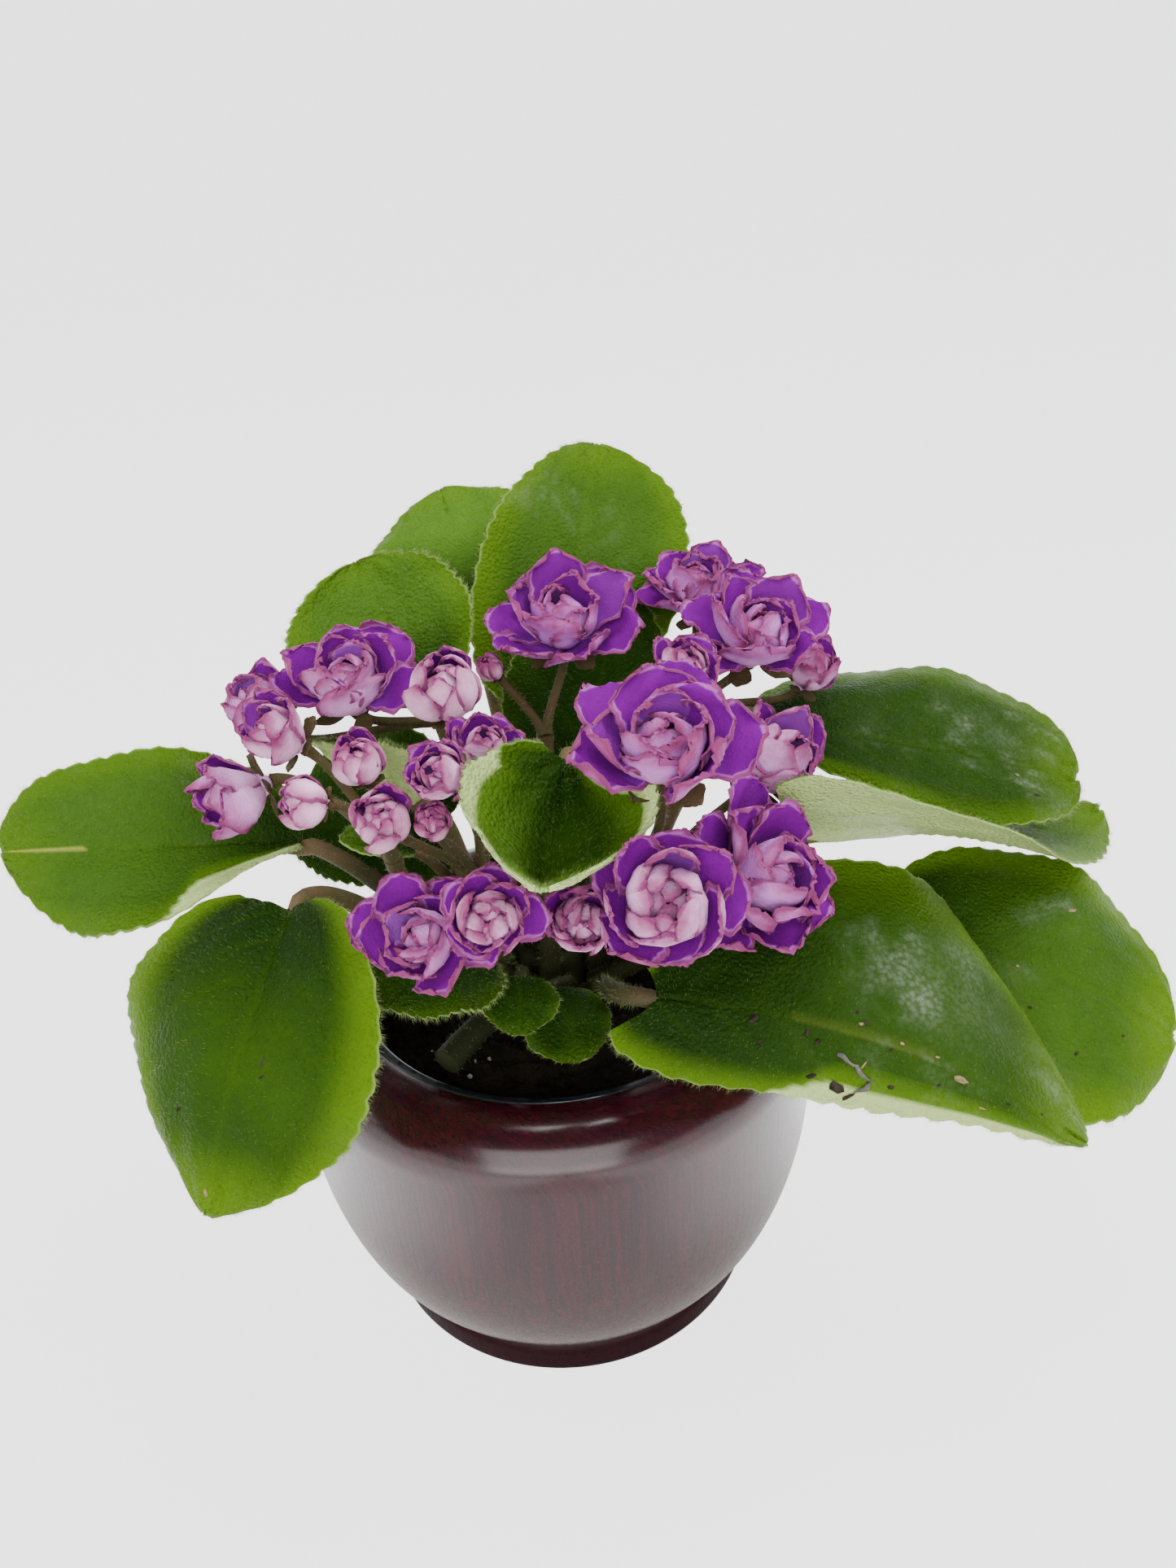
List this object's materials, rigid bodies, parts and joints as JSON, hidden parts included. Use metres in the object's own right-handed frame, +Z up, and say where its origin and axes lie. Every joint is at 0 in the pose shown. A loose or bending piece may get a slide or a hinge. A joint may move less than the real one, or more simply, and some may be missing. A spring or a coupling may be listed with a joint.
{
  "type": "potted african violet",
  "caption": "African violet with double purple flowers and broad hairy leaves, in a black nursery pot inside a round burgundy outer pot.",
  "frame": {"origin": "centre of the outer pot's foot, on the surface that it stands on", "axes": "+Z up along the pots' common axis; -Y faces the camera of the picture, +X is to its right"},
  "size_m": [0.2858, 0.1583, 0.2132],
  "materials": {
    "glaze": "glossy, brushed burgundy over black",
    "black": "glossy black",
    "soil": "damp peat",
    "stem": "hairy stalk",
    "leaf": "hairy leaf, a little glossy",
    "petal": "matte petal",
    "bud": "matte bud"
  },
  "bodies": {
    "root": {"outer_pot": "glaze", "nursery_pot": "black", "soil": "soil", "crown": "stem", "cut_leaf_stalk": "stem", "leaf_left": "leaf", "leaf_front_left": "leaf", "leaf_back_left_cupped": "leaf", "leaf_back_left": "leaf", "leaf_back": "leaf", "leaf_centre_small": "leaf", "leaf_low_left": "leaf", "leaf_right_back": "leaf", "leaf_right_folded": "leaf", "leaf_right": "leaf", "leaf_front_right": "leaf", "leaf_centre_cupped": "leaf", "leaf_behind_buds": "leaf", "leaf_under_left": "leaf", "leaf_under_small": "leaf", "leaf_under_right": "leaf", "leaf_young": "leaf", "bloom_back_centre": "petal", "bloom_back_right": "petal", "bloom_right": "petal", "bloom_centre": "petal", "bloom_right_half": "petal", "bloom_front_rosette": "petal", "bloom_front_right": "petal", "bloom_front_left": "petal", "bloom_front": "petal", "bloom_front_low": "petal", "bloom_left": "petal", "bloom_left_half": "petal", "bloom_left_bell": "petal", "bloom_left_back": "petal", "bloom_centre_back": "petal", "bloom_behind_leaf": "petal", "bloom_small_left": "petal", "bloom_far_right": "petal", "bud_large": "bud", "bud_left": "bud", "bud_upper": "bud", "bud_front": "bud", "bud_low": "bud", "bud_centre": "bud", "flower_stem_front_left": "stem", "flower_stem_back": "stem", "flower_stem_right": "stem", "flower_stem_front_right": "stem", "flower_stem_back_left": "stem", "flower_stem_left": "stem"}
  },
  "joints": []
}
